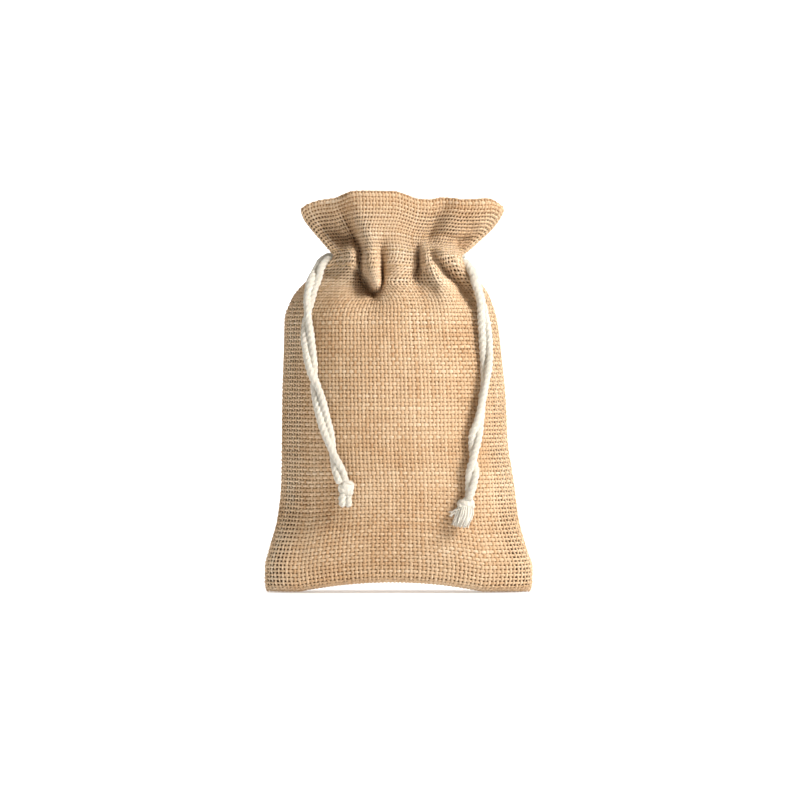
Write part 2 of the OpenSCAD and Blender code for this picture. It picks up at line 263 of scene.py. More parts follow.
def row_height(t, w, side, arched):
    """Height of the weave's rows, from the arched bottom edge (w 0) to the wavy top edge (w 1)."""
    top = (FRONT_TOP if side < 0 else BACK_TOP)(t)
    rise = w * w * (1 + ROW_BUNCH) / (w + ROW_BUNCH)
    z = (bottom_line(t) - SKIN) * (1 - smoothstep(rise, 0, ARCH_FADE)) + SKIN + (LEVEL_TOP - SKIN) * rise
    z = z + (top - LEVEL_TOP) * smoothstep(rise, TOP_FADE, 1)
    if arched:
        z = z + ROW_LIFT * fold_height(side_reach(t, z), z, NECK_BULGES) * smoothstep(z, *ROW_ZONE)
    return z


def section(t, powers):
    """Depth over the width of the pouch, 1 in its middle and 0 at its sides."""
    return (1 - np.minimum(np.abs(t), 1) ** powers[0]) ** powers[1]


def smooth_depth(t, z, side):
    """Half depth before any fold: a filled body, sides that open into slits, and the flared ruffle."""
    low = np.clip(1 - z / BOX_TOP, 0, 1)
    across = low * section(t, BOX_SECTION) + (1 - low) * section(t, PILLOW_SECTION)
    belly = BELLY(z)
    lip = SLIT(z) + np.maximum(belly - SLIT(z), 0) * section(t, LIP_SECTION)
    belly = belly * across + (lip - belly * across) * smoothstep(z, *SLIT_ZONE)
    turned = t if side < 0 else -t
    flare = RUFFLE_TOP(turned) - RUFFLE_LOW(turned)
    ruffle = RUFFLE_LOW(turned) + flare * smoothstep(z, *FLARE_ZONE)
    return belly + (ruffle - belly) * smoothstep(z, *RUFFLE_ZONE)


def kept_clear(depth, belly, t, z):
    """The depth of the folded cloth, its creases blunted where they would reach the cord."""
    least = np.minimum(CLEAR(z), belly)
    over = depth - least
    blunt = CREASE_ROUND * smoothstep(z, *BLUNT_ZONE) * smoothstep(1 - np.abs(t), 0, BLUNT_SIDE)
    return least + 0.5 * (over + np.sqrt(over * over + blunt * blunt))


def surface(a, w, side, folded=True):
    """Points of the front (side -1) or back (side 1) cloth: a runs -1 to 1 across it, w 0 to 1 up it."""
    t = np.sin(np.pi * a / 2)
    z = row_height(t, w, side, folded and side < 0)
    x = side_reach(t, z)
    belly = smooth_depth(t, z, side)
    turn = 1 - np.clip((z - bottom_line(t)) / EDGE_TURN, 0, 1)
    edge = np.sqrt(np.clip(1 - turn * turn, 0, 1))
    folds = 0
    if folded:
        folds = fold_height(x, z, GATHERS[side]) + fold_height(x, z, BODY_FOLDS)
    fade = edge * smoothstep(1 - np.abs(t), 0, FOLD_SIDE)
    depth = kept_clear(belly * edge + folds * fade, belly, t, z)
    return np.stack([x, side * depth, z], -1)


def even_out(length, values):
    """Moves values along the first axis so that the steps of the running length become even."""
    moved = values.copy()
    for line in range(length.shape[1]):
        even = np.linspace(0, length[-1, line], len(length))
        moved[:, line] = np.interp(even, length[:, line], values[:, line])
    return moved


def running_length(points):
    step = np.linalg.norm(np.diff(points, axis=0), axis=2)
    return np.concatenate([np.zeros((1, step.shape[1])), np.cumsum(step, 0)])


SPREAD_ROUNDS = 8
YARN_STIFFNESS = 22  # rounds of smoothing in each that keep a warp yarn from swerving


def spread(a, w, side):
    """Moves the net until warps are evenly apart over the folds and wefts up the cloth."""
    for _ in range(SPREAD_ROUNDS):
        a = even_out(running_length(surface(a, w, side)), a)
        plain = surface(a, w, side, folded=False).swapaxes(0, 1)
        length = running_length(plain).mean(axis=1)
        even = np.linspace(0, length[-1], len(length))
        w = np.broadcast_to(np.interp(even, length, w[0]), w.shape).copy()
        for _ in range(YARN_STIFFNESS):
            a[:, 1:-1] = 0.25 * a[:, :-2] + 0.5 * a[:, 1:-1] + 0.25 * a[:, 2:]
    return a, w


WARPS, WEFTS = 69, 107
HEM_WEFTS = 9  # wefts of the hem that is turned inside
HEM_GAP = 1.5  # from the middle of the cloth to the middle of its hem


def normals_of(net, side):
    along_i = np.gradient(net, axis=0)
    along_j = np.gradient(net, axis=1)
    n = np.cross(along_i, along_j)
    n /= np.linalg.norm(n, axis=2, keepdims=True) + 1e-9
    return n * np.sign((n[..., 1] * side).sum())


def cloth_net(side):
    """The woven net of one cloth, two steps for each yarn, with its hem turned over the top edge."""
    across, up_it = np.linspace(-1, 1, 2 * WARPS + 1), np.linspace(0, 1, 2 * WEFTS + 1)
    a, w = spread(*np.meshgrid(across, up_it, indexing="ij"), side)
    net = surface(a, w, side)
    n = normals_of(net, side)
    up = net[:, -1] - net[:, -2]
    up /= np.linalg.norm(up, axis=1, keepdims=True)
    turn = net[:, -1:] + (up * HEM_GAP * 0.5 - n[:, -1] * HEM_GAP * 0.5)[:, None]
    inside = (net - n * HEM_GAP)[:, -1:-2 * HEM_WEFTS - 2:-1]
    return net, np.concatenate([net, turn, inside], 1)


def slow_noise(shape, step):
    """Random numbers that change slowly along each row, one new value for every step places."""
    knots = rng.normal(size=(shape[0], shape[1] // step + 3))
    at = np.arange(shape[1]) / step
    return np.array([np.interp(at, np.arange(row.size), row) for row in knots])


PITCH = 1.95  # from one yarn to the next where the cloth lies flat
OPEN_FILL = 0.55  # share of its pitch that a yarn covers where nothing lies behind the cloth
FULL_FILL = 0.82  # and where the filling presses it flat
YARN_SIDES = 6
WAVE = 0.40  # how far a yarn rises over the yarns it crosses
WARP_SINK, WEFT_RISE = 0.25, 0.15  # shares of that rise which pressed warps lose and pressed wefts gain
WARP_SLIM, WEFT_SLIM = 0.14, 0.04  # shares of their width which both lose there
YARN_T = 0.40  # half thickness of a yarn
THIN_SHARE = 0.6  # the least share of it, where yarns are crowded
HALF_W_RANGE = (0.3, 1.1)  # half width of the narrowest and the widest yarn
UNEVEN = 0.08  # how much thickness and width change along a yarn
DRIFT = 0.07  # how far a yarn strays sideways
THICK_STEP, DRIFT_STEP, TONE_STEP = 7, 11, 9  # crossings over which thickness, drift and tone change
OPEN_HIGHLIGHT = 1.2  # how much paler the round yarns of the open cloth are painted, a painted highlight
WARP_TONE = -0.6  # and the yarns of the pressed cloth, where the weft crowns catch the light
WEFT_TONE = 0.4
FOLD_HIGHLIGHT_AND_SHADE = 0.2  # and for each millimetre that a fold stands out, a painted highlight, with painted shade where it sinks in
FIBRE_SHIFT = 7.3  # offset of the fibre pattern from one yarn to the next


def crossing_height(press, warp):
    """How far each yarn lies above the middle of the cloth, over and under in turn."""
    count, steps = press.shape
    turn = np.arange(count)[:, None] * np.pi + np.arange(steps)[None] * np.pi / 2
    return np.sin(turn) * (1 - WARP_SINK * press if warp else -1 - WEFT_RISE * press) * WAVE


def yarn_section(pitch, press, full, warp):
    """Half width, half thickness and sideways drift of each yarn, uneven along it as spun jute is."""
    noise = slow_noise(press.shape, THICK_STEP)
    drift = slow_noise(press.shape, DRIFT_STEP)[..., None] * DRIFT
    half_w = pitch * 0.5 * full * (1 - WARP_SLIM * press if warp else 1 - WEFT_SLIM * press)
    half_w = np.clip(half_w * (1 + UNEVEN * noise), *HALF_W_RANGE)
    half_t = YARN_T * (1 + UNEVEN * noise) * np.clip(pitch / PITCH, THIN_SHARE, 1)
    return half_w, half_t, drift


def yarn_tone_and_shade(press, raised, warp):
    """How pale each yarn is along its length: its own tone, plus painted highlight and shade from the open
    cloth, the weft crowns and the folds around it.
    """
    tone = rng.normal(size=(press.shape[0], 1)) * 0.5 + slow_noise(press.shape, TONE_STEP) * 0.5
    pressed = WARP_TONE if warp else WEFT_TONE
    return tone + OPEN_HIGHLIGHT * (1 - press) + pressed * press + FOLD_HIGHLIGHT_AND_SHADE * raised


def yarn_uv(shape):
    """Places on the yarns, in millimetres along them and as a share of the way round."""
    yarn, station, turn = np.indices(shape)
    along = station * (PITCH / 2) + yarn * FIBRE_SHIFT
    return np.stack([along.ravel(), (turn / shape[2]).ravel()], 1)


def yarns(name, net, side, warp, fill, relief):
    """All warp or all weft yarns of a net, as flattened tubes that pass over and under each other."""
    grids = (net, normals_of(net, side), fill, relief)
    lines, up, full, raised = grids if warp else (grid.swapaxes(0, 1) for grid in grids)
    up, full, raised = up[1::2], full[1::2], raised[1::2]
    across = lines[2::2] - lines[:-1:2]
    pitch = np.linalg.norm(across, axis=2)
    wide = across / (pitch[..., None] + 1e-9)
    press = (full - OPEN_FILL) / (FULL_FILL - OPEN_FILL)
    half_w, half_t, drift = yarn_section(pitch, press, full, warp)
    centre = lines[1::2] + up * crossing_height(press, warp)[..., None] + wide * drift
    angle = np.arange(YARN_SIDES) * 2 * np.pi / YARN_SIDES
    ring = (centre[:, :, None] + wide[:, :, None] * (half_w[..., None] * np.cos(angle))[..., None]
            + up[:, :, None] * (half_t[..., None] * np.sin(angle))[..., None])
    index = np.arange(ring[..., 0].size).reshape(ring.shape[:3])
    nxt = np.roll(index, -1, axis=2)
    faces = np.stack([index[:, :-1], nxt[:, :-1], nxt[:, 1:], index[:, 1:]], -1).reshape(-1, 4)
    if warp == (side < 0):
        faces = faces[:, ::-1]
    tone = np.broadcast_to(yarn_tone_and_shade(press, raised, warp)[..., None], index.shape)
    return new_piece(name, ring.reshape(-1, 3), faces, uv=yarn_uv(index.shape), values={"tone": tone})


FILLED_WIDTH, FILLED_SOFT = 0.90, 0.16  # share of the half width that the filling reaches, and how softly
FILLED_TOP, TOP_SOFT = 160.0, 16.0  # height that it reaches, and how softly it ends there
FOOT_PALE = 0.3  # what is left of its effect at the bottom edge
FOOT_ZONE = (2, 16)
MIDDLE_PALE, MIDDLE_X, MIDDLE_HALF = 0.5, -3.0, 11.0  # the neck's lit middle: how pale, where, how wide
MIDDLE_ZONE = (150, 158)
HEM_PALE = 0.65  # the doubled cloth at the top edge
HEM_ZONE = (LEVEL_TOP - 9, LEVEL_TOP - 2)


def backed_or_lit_share(net):
    """How pale it is between the yarns: 1 over the filling, less in the neck's middle, where it is a
    painted highlight, and at the hem; where it is 0 the yarns show a dark painted shade of the empty
    inside.
    """
    x, z = net[..., 0], net[..., 2]
    share = np.abs(x) / half_width(x, z)
    body = smoothstep(FILLED_WIDTH - share, 0, FILLED_SOFT) * smoothstep(FILLED_TOP - z, 0, TOP_SOFT)
    body = body * (FOOT_PALE + (1 - FOOT_PALE) * smoothstep(z, *FOOT_ZONE))
    middle = MIDDLE_PALE * np.exp(-((x - MIDDLE_X) / MIDDLE_HALF) ** 2) * smoothstep(z, *MIDDLE_ZONE)
    hem = HEM_PALE * smoothstep(z, *HEM_ZONE)
    return np.maximum(np.maximum(body, middle), hem)


def grid_faces(rows, cols, flip):
    i = np.arange(rows * cols).reshape(rows, cols)
    faces = np.stack([i[:-1, :-1], i[1:, :-1], i[1:, 1:], i[:-1, 1:]], -1).reshape(-1, 4)
    return faces[:, ::-1] if flip else faces


SHADE_SHEET_BACK = 0.5  # how far the sheet of painted shade lies behind the middle of the yarns
SHADE_SHEET_TOP, SHADE_SHEET_EASE = 178.0, 8.0  # above the first height it lies in their middle
RELIEF_LIMIT = 7.0  # folds higher or deeper than this change the painted highlight and shade no further


def make_cloth(word, side):
    outer, net = cloth_net(side)
    shown = backed_or_lit_share(net)
    fill = OPEN_FILL + (FULL_FILL - OPEN_FILL) * shown
    back = SHADE_SHEET_BACK * smoothstep(SHADE_SHEET_TOP - net[..., 2], 0, SHADE_SHEET_EASE)
    set_back = net - normals_of(net, side) * back[..., None]
    faces = grid_faces(*net.shape[:2], side > 0)
    # A sheet behind the yarns, painted as the dark shade of the empty inside and tan where the filling lies
    # behind
    shade_sheet = new_piece(word + "_painted_shade_sheet", set_back.reshape(-1, 3), faces, values={"backed_or_lit": shown})
    # Fold heights, which paint a highlight on raised folds and shade in sunk creases
    relief = np.clip(fold_height(net[..., 0], net[..., 2], GATHERS[side]), -RELIEF_LIMIT, RELIEF_LIMIT)
    warp = yarns(word + "_warp_yarns", net, side, True, fill, relief)
    weft = yarns(word + "_weft_yarns", net, side, False, fill, relief)
    for piece in (shade_sheet, warp, weft):
        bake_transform(piece)
    return outer, shade_sheet, warp, weft


# ---- cords

CURVE_STEPS = 24  # steps between two of a curve's given points


def distance_along(line):
    """The length of a line up to each of its points."""
    return np.concatenate([[0], np.cumsum(np.linalg.norm(np.diff(line, axis=0), axis=1))])


def curve_through(points, spacing):
    """An evenly stepped smooth curve (Catmull-Rom) through rows of (x, y, z, ...) values."""
    rows = np.array(points, float)
    rows = np.concatenate([2 * rows[:1] - rows[1:2], rows, 2 * rows[-1:] - rows[-2:-1]])
    s = np.linspace(0, 1, CURVE_STEPS, endpoint=False)[:, None]
    parts = []
    for p0, p1, p2, p3 in zip(rows, rows[1:], rows[2:], rows[3:]):
        parts.append(0.5 * (2 * p1 + (p2 - p0) * s + (2 * p0 - 5 * p1 + 4 * p2 - p3) * s**2
                            + (3 * p1 - p0 - 3 * p2 + p3) * s**3))
    line = np.concatenate(parts + [rows[-2:-1]])
    length = distance_along(line[:, :3])
    even = np.linspace(0, length[-1], max(4, int(length[-1] / spacing) + 1))
    return np.stack([np.interp(even, length, line[:, k]) for k in range(line.shape[1])], 1), even


def frames_along(line):
    """Two directions across a curve at each of its points, turning no more than they must."""
    ahead = np.gradient(line, axis=0)
    ahead /= np.linalg.norm(ahead, axis=1, keepdims=True)
    first = np.cross(ahead[0], (0.3, 0.9, 0.1))  # a direction in which no rope starts
    sides = [first / np.linalg.norm(first)]
    for direction in ahead[1:]:
        s = sides[-1] - direction * np.dot(sides[-1], direction)
        sides.append(s / np.linalg.norm(s))
    sides = np.array(sides)
    return sides, np.cross(ahead, sides)


def ring_points(line, size, sides):
    """Rings of points around a curve, as far from it as size says."""
    u, v = frames_along(line)
    angle = np.arange(sides) * 2 * np.pi / sides
    around = np.cos(angle)[None, :, None] * u[:, None] + np.sin(angle)[None, :, None] * v[:, None]
    return line[:, None] + size[..., None] * around


def tube_faces(rings, sides):
    """Faces between consecutive rings of points, and one across each end."""
    index = np.arange(rings * sides).reshape(rings, sides)
    nxt = np.roll(index, -1, axis=1)
    faces = np.stack([index[:-1], nxt[:-1], nxt[1:], index[1:]], -1).reshape(-1, 4).tolist()
    return faces + [index[0][::-1].tolist(), index[-1].tolist()]


ROPE_SIDES = 27
TWIST_PITCH = 9.0  # length of one turn of the plies
PLY_OFFSET = 0.37  # from the rope's middle to the middle of a ply, in radii
ROUND_END = 0.9  # how far a capped end is rounded, in radii
WOBBLE_STEP = 5  # stations over which a rope's thickness changes
COTTON_SOFT = 0.12  # how much it changes


def end_rounding(even, radius):
    """Shares of the radius that round a rope off at both of its ends."""
    ends = np.ones(len(even))
    for away in (even, even[-1] - even):
        s = np.clip(away / (radius * ROUND_END), 0, 1)
        ends = ends * np.sqrt(np.clip(1 - (1 - s) ** 2, 0.01, 1))
    return ends


def rope_mesh(line, radius, even, twist, plies=3, capped=True, softness=COTTON_SOFT):
    """Points, faces, uv and ply places of a twisted rope: a lobed section that turns as it goes."""
    angle = np.arange(ROPE_SIDES) * 2 * np.pi / ROPE_SIDES
    sector = 2 * np.pi / plies
    phase = angle[None] - 2 * np.pi * even[:, None] / twist
    near = (phase + sector / 2) % sector - sector / 2
    lobe = PLY_OFFSET * np.cos(near) + np.sqrt((1 - PLY_OFFSET) ** 2 - (PLY_OFFSET * np.sin(near)) ** 2)
    wobble = 1 + softness * 0.5 * slow_noise((1, len(even)), WOBBLE_STEP)[0]
    ends = end_rounding(even, radius) if capped else 1.0
    points = ring_points(line, (radius * wobble * ends)[:, None] * lobe, ROPE_SIDES)
    uv = np.stack([np.broadcast_to(even[:, None], phase.shape), phase * radius[:, None]], -1)
    faces = tube_faces(len(line), ROPE_SIDES)
    return points.reshape(-1, 3), faces, uv.reshape(-1, 2), (near / sector * 2).ravel()


def join_meshes(parts):
    """One list of points, faces, uv and ply places from several."""
    faces, start = [], 0
    for part in parts:
        faces += [[i + start for i in face] for face in part[1]]
        start += len(part[0])
    points, _, uv, ply = zip(*parts)
    return np.concatenate(points), faces, np.concatenate(uv), np.concatenate(ply)


def rope_piece(name, mesh):
    return new_piece(name, mesh[0], mesh[1], uv=mesh[2], values={"ply": mesh[3]})


def cotton_piece(name, mesh):
    piece = rope_piece(name, mesh)
    return piece


def make_rope(name, points, spacing):
    """A cotton rope through rows of (x, y, z, radius), and its line."""
    line, even = curve_through(points, spacing)
    return cotton_piece(name, rope_mesh(line[:, :3], line[:, 3], even, TWIST_PITCH)), line


SEEN_STEP, HIDDEN_STEP = 0.7, 0.9  # between the stations of a cord outside the casing, and inside it
LANE_Y = 6.0  # where the cord runs inside the gathered casing
LANE_END = 29.0  # how far out the tails begin
STRAND_GAP = 1.65  # from the middle of a pair to the middle of each strand
CORD_R, RUN_R = 1.95, 1.7  # the cord is squeezed a little inside the casing
LANE_Z = {"left": 168.3, "right": 164.7}
OUTWARDS = {"left": -1, "right": 1}
# The middle of each pair of tails, as (x, y, z, turn of the pair in degrees), from the neck to the knot
PAIRS = {
    "left": [
        (-41.8, -13, 156, 15), (-44, -15.4, 148, 40), (-45, -18.2, 139, 90), (-45.2, -19.2, 130, 150),
        (-44.2, -20.8, 120, 180), (-42.7, -22.6, 111, 230), (-40.4, -24.2, 101, 320),
        (-37.8, -25.5, 90, 360), (-35, -26.8, 80, 390), (-32.5, -27.6, 71, 450), (-29.6, -28, 62, 530),
        (-27.5, -28, 55, 570)],
    "right": [
        (38, -12.2, 155, 250), (40.5, -14, 146, 255), (42, -16, 136, 220), (42.9, -17.2, 126, 190),
        (43.2, -18.6, 116, 150), (42.6, -20.4, 106, 110), (41, -21.8, 96, 90), (39.4, -23.2, 86, 65),
        (37.6, -24.2, 78, 0), (36.6, -24.8, 68, -90), (36, -25, 60, -175), (35, -25, 51.5, -250),
        (34.2, -24.9, 47, -280)],
}
# For each tail its y in the casing, where it comes out, and the turn of its place in the pair
TAILS = {
    "left_front_tail": (-LANE_Y, [(-33, -6.2, 167.2), (-36.5, -8, 164.8), (-38.6, -10.8, 161.6)], 0),
    "left_back_tail": (LANE_Y, [(-34, 5, 168), (-37.6, 1, 166.4), (-40.4, -4.5, 162.6)], 180),
    "right_front_tail": (-LANE_Y, [(31.6, -6.2, 165), (34.2, -8, 162.8), (36.4, -10.8, 159)], 180),
    "right_back_tail": (LANE_Y, [(32.6, 5, 165.2), (35.2, 1, 163), (37.2, -4.5, 159.6)], 0),
}


def tail_rows(side, y, exits, half_turn):
    """The route of one tail, from inside the casing to its knot, with the radius at each point."""
    rows = [(OUTWARDS[side] * LANE_END, y, LANE_Z[side], RUN_R)] + [(*point, CORD_R) for point in exits]
    for x, yy, z, turn in PAIRS[side]:
        angle = math.radians(turn + half_turn)
        rows.append((x + STRAND_GAP * math.cos(angle), yy + STRAND_GAP * math.sin(angle), z, CORD_R))
    return rows


def make_tail(name):
    side = name.split("_")[0]
    piece, line = make_rope(name + "_rope", tail_rows(side, *TAILS[name]), SEEN_STEP)
    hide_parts(name)
    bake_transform(piece)
    return piece, line


RUN_X = (1.5, 12, 22, 31)  # x stations of the stretches inside the casing


def make_runs(side):
    """The stretches of one cord that lie in the casing: they slide out when the cord is pulled."""
    sign, lane = OUTWARDS[side], LANE_Z[side]
    parts = []
    for y in (-LANE_Y, LANE_Y):
        line, even = curve_through([(sign * x, y, lane) for x in RUN_X], HIDDEN_STEP)
        parts.append(rope_mesh(line, np.full(len(even), RUN_R), even, TWIST_PITCH))
    piece = cotton_piece(side + "_casing_runs", join_meshes(parts))
    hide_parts(side + "_cord_runs")
    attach(piece, side + "_pull")
    return piece


LOOP_X, LOOP_REACH = 24.0, 8.0  # where the far loop begins to bend, and how far it reaches beyond
LOOP_STRAIGHT = (1, 12)  # x stations of its straight stretches


def make_loop(side):
    """The far end of one cord, where it turns round inside the other side of the neck."""
    sign, lane = -OUTWARDS[side], LANE_Z[side]
    turns = np.radians(np.linspace(-90, 90, 9))
    route = [(x, -LANE_Y) for x in LOOP_STRAIGHT]
    route += [(LOOP_X + LOOP_REACH * math.cos(a), LANE_Y * math.sin(a)) for a in turns]
    route += [(x, LANE_Y) for x in reversed(LOOP_STRAIGHT)]
    piece, _ = make_rope(side + "_loop_rope", [(sign * x, y, lane, RUN_R) for x, y in route], HIDDEN_STEP)
    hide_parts(side + "_cord_loop")
    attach(piece, "pouch")
    return piece


# Middle, tilt and squeeze of each knot
KNOTS = {"left": ((-25.7, -27.4, 53), 25, (1.0, 0.85, 0.95)),
         "right": ((33.2, -24.8, 45.4), 160, (1.08, 0.9, 0.8))}
KNOT_SIZE = 3.0  # reach of the trefoil's turns
KNOT_TUBE = 1.55  # radius of the rope in them, pressed thinner than the cord
KNOT_TWIST, KNOT_STEPS = 7.0, 91
LUMP_RADII, LUMP_RINGS = (3.5, 3.2, 3.6), 17


def knot_mesh(middle, tilt, squeeze):
    """A tight overhand knot: one closed trefoil of soft rope whose turns press into each other."""
    t = np.linspace(0, 2 * np.pi, KNOT_STEPS)
    line = np.stack([np.sin(t) + 2 * np.sin(2 * t), 1.1 * np.sin(3 * t), np.cos(t) - 2 * np.cos(2 * t)], 1)
    line *= KNOT_SIZE / 3
    c, s = math.cos(math.radians(tilt)), math.sin(math.radians(tilt))
    line = line @ np.array([(c, 0, s), (0, 1, 0), (-s, 0, c)]) * squeeze + np.array(middle)
    even = distance_along(line)
    twist = even[-1] / round(even[-1] / KNOT_TWIST)
    return rope_mesh(line, np.full(len(even), KNOT_TUBE), even, twist, capped=False, softness=0)


def lump_mesh(middle, squeeze):
    """The pressed cotton in the heart of a knot, a soft uneven ball."""
    lat = np.linspace(-np.pi / 2, np.pi / 2, LUMP_RINGS)[1:-1, None]
    lon = np.arange(ROPE_SIDES)[None] * 2 * np.pi / ROPE_SIDES
    ball = np.stack([np.cos(lat) * np.cos(lon), np.cos(lat) * np.sin(lon), np.sin(lat) + 0 * lon], -1)
    bump = 1 + 0.06 * np.sin(3 * lon + 2 * lat) + 0.05 * np.cos(2 * lon - 3 * lat)
    points = (ball * bump[..., None] * (np.array(LUMP_RADII) * squeeze)).reshape(-1, 3) + middle
    faces = tube_faces(LUMP_RINGS - 2, ROPE_SIDES)
    uv = np.stack([np.broadcast_to(lat * 4, bump.shape), np.broadcast_to(lon * 2, bump.shape)], -1)
    return points, faces, uv.reshape(-1, 2), np.zeros(len(points))


def make_knot(side):
    middle, tilt, squeeze = KNOTS[side]
    mesh = join_meshes([knot_mesh(middle, tilt, squeeze), lump_mesh(middle, squeeze)])
    piece = cotton_piece(side + "_overhand_knot", mesh)
    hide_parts(side + "_knot")
    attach(piece, side + "_tails")
    return piece


def make_cut_ends():
    """The two short ends below the left knot, trimmed and rounded."""
    x, y, z = KNOTS["left"][0]
    parts = []
    for out, dy in ((-1.0, -0.4), (1.0, 0.4)):
        rows = [(x - 0.4 + 1.1 * out, y + dy, z - 1.5), (x - 0.7 + 1.45 * out, y + dy, z - 4.5),
                (x - 0.7 + 1.45 * out, y + dy, z - 7), (x - 0.6 + 1.25 * out, y + dy, z - 9.4)]
        line, even = curve_through(rows, 0.5)
        parts.append(rope_mesh(line, np.interp(even, [0, even[-1]], [1.8, 1.95]), even, 8.0))
    piece = cotton_piece("left_trimmed_ends", join_meshes(parts))
    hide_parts("left_cut_ends")
    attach(piece, "left_tails")
    return piece


FINE_SIDES, FINE_STEP = 5, 0.6


def fine_strand(rows, radius):
    """One thin strand that tapers to a point at its far end."""
    line, even = curve_through(rows, FINE_STEP)
    size = radius * np.sqrt(np.clip(1 - (even / even[-1]) ** 3, 0.02, 1))
    points = ring_points(line, size[:, None], FINE_SIDES)
    around = np.arange(FINE_SIDES) * 2 * np.pi / FINE_SIDES * radius
    grid = points.shape[:2]
    uv = np.stack([np.broadcast_to(even[:, None], grid), np.broadcast_to(around, grid)], -1)
    faces = tube_faces(len(line), FINE_SIDES)
    return points.reshape(-1, 3), faces, uv.reshape(-1, 2), np.zeros(len(line) * FINE_SIDES)


TASSEL_YARNS, STRAY_YARNS = 118, 16
TASSEL_REACH = 11.6  # how far the frayed end hangs below the middle of its knot
FULL_YARN, STRAY_YARN = (0.45, 0.66), (0.2, 0.34)  # least and greatest radius of its yarns and strays


def tassel_yarn(stray):
    """One loosened yarn that leans to the left, or a stray fibre that leaves the tassel there."""
    x, y, z = KNOTS["right"][0]
    a = rng.uniform(0, 2 * np.pi)
    r = math.sqrt(rng.uniform(0, 1))
    u, v = r * math.cos(a), r * math.sin(a)
    reach = TASSEL_REACH - 1.4 * abs(u - 0.2) + rng.normal() * 0.5
    curl = rng.normal(size=2) * (1.2 if stray else 0.45)
    top = (x - 0.2 + 2.9 * u, y + 2.2 * v, z - 1.0)
    if stray:
        mid = (x - 4.6 + u, y + 2 * v, z - 0.3 * reach)
        tip = (x - 7.2 + 1.2 * u + curl[0], y + 2 * v + curl[1], z - (0.55 + 0.2 * v) * reach)
    else:
        mid = (x - 1.0 + 4.3 * u, y + 2.7 * v, z - 0.5 * reach)
        tip = (x - 3.0 + 4.3 * u + curl[0], y + 2.6 * v + curl[1], z - reach)
    return fine_strand([top, mid, tip], rng.uniform(*(STRAY_YARN if stray else FULL_YARN)))


def make_tassel():
    """The frayed end below the right knot."""
    parts = [tassel_yarn(k >= TASSEL_YARNS - STRAY_YARNS) for k in range(TASSEL_YARNS)]
    piece = cotton_piece("right_frayed_end", join_meshes(parts))
    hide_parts("right_tassel")
    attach(piece, "right_tails")
    return piece


cords = []
for side in ("left", "right"):
    knot = make_knot(side)
    end = make_cut_ends() if side == "left" else make_tassel()
    runs = make_runs(side)
    loop = make_loop(side)
    front, front_line = make_tail(side + "_front_tail")
    back, back_line = make_tail(side + "_back_tail")
    cords += [knot, end, runs, loop, front, back]


# ---- cloth pieces

LINING_ROWS, LINING_FILL = 8, 0.75
LINING_Z = (160.6, 172.2)  # its lower and upper edge
LINING_MID = 166.4  # height of its middle, and how far from there its sewn edges begin
LINING_EASE = (3.6, 6)
LINING_INSET = 0.8  # how much narrower it is than the outer cloth
LINING_DEPTH = 3.2  # its half depth behind the cord
LINING_GAP = 1.2  # how far its sewn edges lie inside the outer cloth's least half depth


def casing_lining(word, side):
    """The inner layer of the casing, behind the cord, its long edges sewn to the outer cloth."""
    across, up_it = np.linspace(-1, 1, 2 * WARPS + 1), np.linspace(*LINING_Z, 2 * LINING_ROWS + 1)
    t, z = np.meshgrid(across, up_it, indexing="ij")
    x = t * (half_width(t, z) - SKIN - LINING_INSET)
    away = smoothstep(np.abs(z - LINING_MID), *LINING_EASE)
    depth = LINING_DEPTH + away * (np.maximum(CLEAR(z), LINING_DEPTH) - (LINING_DEPTH + LINING_GAP))
    net = np.stack([x, side * depth, z], -1)
    fill = np.full(t.shape, LINING_FILL)
    flat = np.zeros(t.shape)
    warp = yarns(word + "_lining_warp", net, side, True, fill, flat)
    weft = yarns(word + "_lining_weft", net, side, False, fill, flat)
    faces = grid_faces(*t.shape, side > 0)
    # A sheet behind the lining's yarns, painted dark shade all over
    shade_sheet = new_piece(word + "_lining_painted_shade", net.reshape(-1, 3), faces, values={"backed_or_lit": flat})
    return [shade_sheet, warp, weft]


SEAM_HEIGHTS = (162.7, 170.7)  # the rows of stitches, below and above the cord
SEAM_START, SEAM_END = 2.0, 1.5  # from the sides of the cloth to the first and the last stitch
STITCH, STITCH_GAP, STITCH_STEPS = 3.0, 1.3, 6
STITCH_OUT, STITCH_RISE = 0.15, 0.55  # how far a stitch's ends lie out, and its middle further than they
THREAD_R, THREAD_TWIST, THREAD_STEP = 0.32, 1.6, 0.6


def row_on_cloth(net, height):
    """The line across a cloth at one height, from its net."""
    z = net[:, :, 2]
    above = np.argmax(z > height, axis=1)
    below = above - 1
    i = np.arange(net.shape[0])
    share = ((height - z[i, below]) / (z[i, above] - z[i, below]))[:, None]
    return net[i, below] * (1 - share) + net[i, above] * share


def stitch_mesh(line, length, at, side):
    """One running stitch of two-ply thread on a line across the cloth, from a distance along it."""
    s = at + np.linspace(0, STITCH, STITCH_STEPS)
    rows = np.stack([np.interp(s, length, line[:, k]) for k in range(3)], 1)
    rows[:, 1] += side * (STITCH_RISE * np.sin(np.linspace(0, np.pi, STITCH_STEPS)) ** 0.5 + STITCH_OUT)
    steps, even = curve_through(rows, THREAD_STEP)
    return rope_mesh(steps, np.full(len(even), THREAD_R), even, THREAD_TWIST, plies=2)


def casing_seam(word, side, net):
    """The two rows of running stitches that hold the casing."""
    parts = []
    for height in SEAM_HEIGHTS:
        line = row_on_cloth(net, height)
        length = distance_along(line)
        at = SEAM_START
        while at + STITCH < length[-1] - SEAM_END:
            parts.append(stitch_mesh(line, length, at, side))
            at += STITCH + STITCH_GAP
    piece = rope_piece(word + "_casing_running_stitch", join_meshes(parts))
    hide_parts(word + "_casing_stitches")
    return piece


